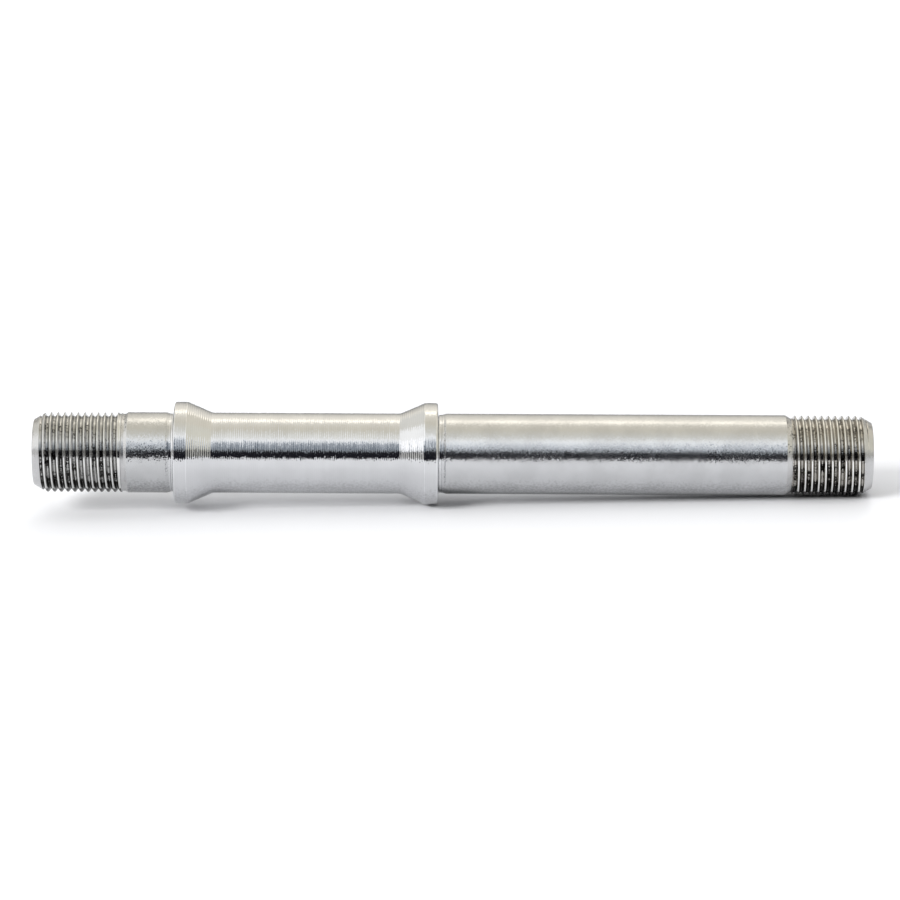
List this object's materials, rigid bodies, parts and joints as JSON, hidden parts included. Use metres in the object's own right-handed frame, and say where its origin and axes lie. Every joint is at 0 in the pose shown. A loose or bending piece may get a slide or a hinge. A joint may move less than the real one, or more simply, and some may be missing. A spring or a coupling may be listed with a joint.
{
  "type": "bicycle rear axle",
  "caption": "Hollow turned rear hub axle with threaded ends, ground bearing seats and tapered collars either side of a waist; carries the hub and freehub bearings.",
  "frame": {"origin": "centre of the short, non-drive end face, which the axle stands on", "axes": "+Z along the axle's axis towards the long, drive-side end; X and Y are any two directions across it"},
  "size_m": [0.0152, 0.0152, 0.1247],
  "materials": {
    "bright_steel": "bright turned waist and collars, satin ground seats"
  },
  "bodies": {
    "root": {"rear_axle": "bright_steel"}
  },
  "joints": []
}
